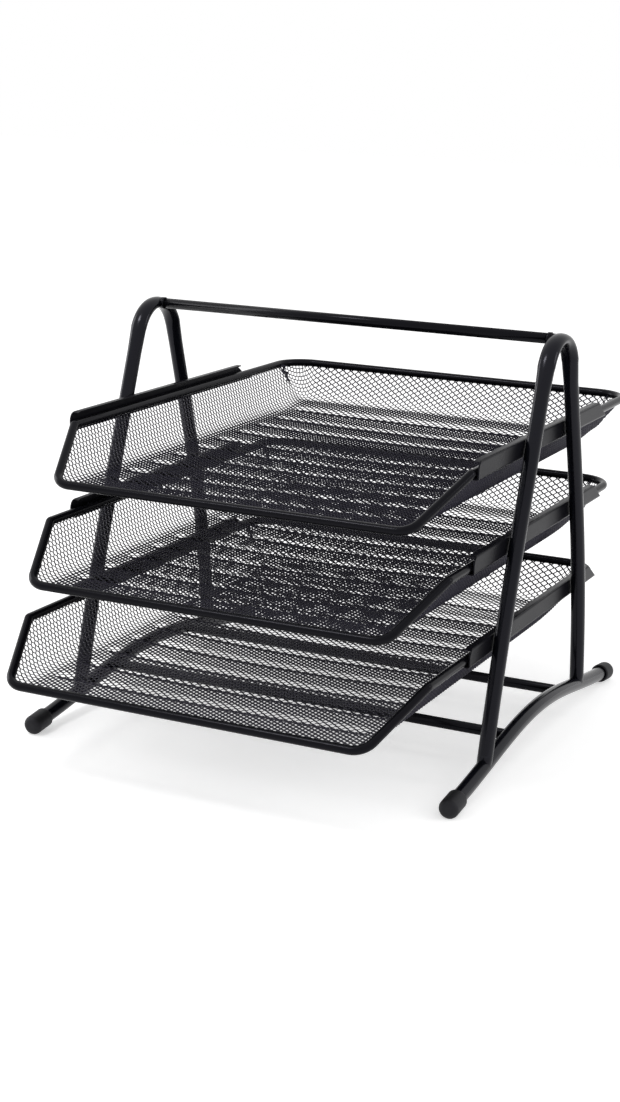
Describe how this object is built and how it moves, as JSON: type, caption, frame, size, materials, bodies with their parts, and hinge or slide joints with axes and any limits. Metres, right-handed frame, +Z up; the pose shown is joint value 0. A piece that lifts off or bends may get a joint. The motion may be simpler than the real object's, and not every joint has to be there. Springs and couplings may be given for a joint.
{
  "type": "mesh document tray stand",
  "caption": "Desk stand of bent tube hoops with a carrying bar and sliding wire mesh letter trays, each tray open at its low front.",
  "frame": {"origin": "centre of the footprint at the level the feet stand on, with the trays as pictured", "axes": "+X across the stand to its right side, +Y to the back, -Y to the front where the trays are pulled out, +Z up"},
  "size_m": [0.2986, 0.4126, 0.2652],
  "materials": {
    "frame_tube": "black satin powder coat on round tube",
    "rod": "black satin powder coat on round rod",
    "rail_sheet": "black satin powder coat on folded sheet",
    "tray_mesh": "black satin powder coat on expanded metal mesh",
    "cap_rubber": "matt black rubber"
  },
  "bodies": {
    "stand": {"left_hoop": "frame_tube", "right_hoop": "frame_tube", "left_foot_bar": "frame_tube", "right_foot_bar": "frame_tube", "left_front_foot_cap": "cap_rubber", "left_rear_foot_cap": "cap_rubber", "right_front_foot_cap": "cap_rubber", "right_rear_foot_cap": "cap_rubber", "left_handle_collar": "rod", "right_handle_collar": "rod", "handle_bar": "rod", "front_lower_bar": "rod", "rear_lower_bar": "rod", "top_left_rail": "rail_sheet", "top_right_rail": "rail_sheet", "middle_left_rail": "rail_sheet", "middle_right_rail": "rail_sheet", "bottom_left_rail": "rail_sheet", "bottom_right_rail": "rail_sheet"},
    "top_tray": {"top_tray_pan": "tray_mesh", "top_tray_rim": "rod"},
    "middle_tray": {"middle_tray_pan": "tray_mesh", "middle_tray_rim": "rod"},
    "bottom_tray": {"bottom_tray_pan": "tray_mesh", "bottom_tray_rim": "rod"}
  },
  "joints": [
    {"name": "top_tray_slide", "type": "slide", "parent": "stand", "child": "top_tray", "axis": [0, -1, 0], "range_m": [0, 0.18]},
    {"name": "middle_tray_slide", "type": "slide", "parent": "stand", "child": "middle_tray", "axis": [0, -1, 0], "range_m": [-0.0285, 0.1515]},
    {"name": "bottom_tray_slide", "type": "slide", "parent": "stand", "child": "bottom_tray", "axis": [0, -1, 0], "range_m": [-0.0531, 0.1269]}
  ]
}
